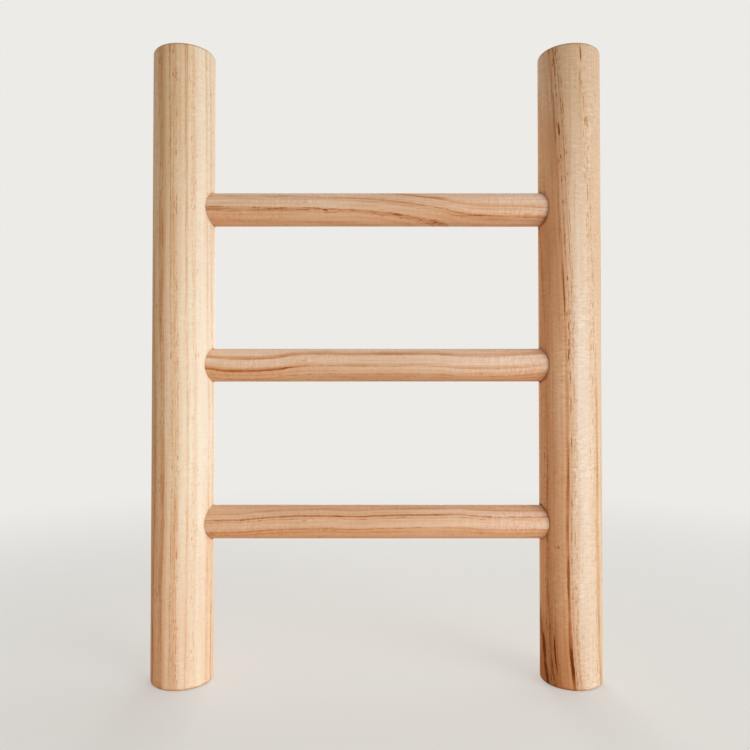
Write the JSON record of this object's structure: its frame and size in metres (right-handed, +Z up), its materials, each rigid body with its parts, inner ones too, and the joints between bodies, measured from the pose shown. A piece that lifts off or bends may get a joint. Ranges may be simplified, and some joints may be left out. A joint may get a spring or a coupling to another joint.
{
  "type": "display ladder",
  "caption": "Small wooden display ladder: round pine posts with square-cut ends, joined by round rungs glued into blind sockets; leans on a wall or stands, to hang small things on.",
  "frame": {"origin": "on the floor, midway between the axes of the posts", "axes": "+Z up along the posts, +X along the rungs to the right as seen from the front, +Y to the back"},
  "size_m": [0.258, 0.035, 0.36],
  "materials": {
    "post_wood": "sanded pine, bare or thinly oiled, straight grain, low sheen",
    "rung_wood": "sanded pine, bare or thinly oiled, wavy grain with resin streaks, low sheen"
  },
  "bodies": {
    "root": {"left_post": "post_wood", "right_post": "post_wood", "bottom_rung": "rung_wood", "middle_rung": "rung_wood", "top_rung": "rung_wood"}
  },
  "joints": []
}
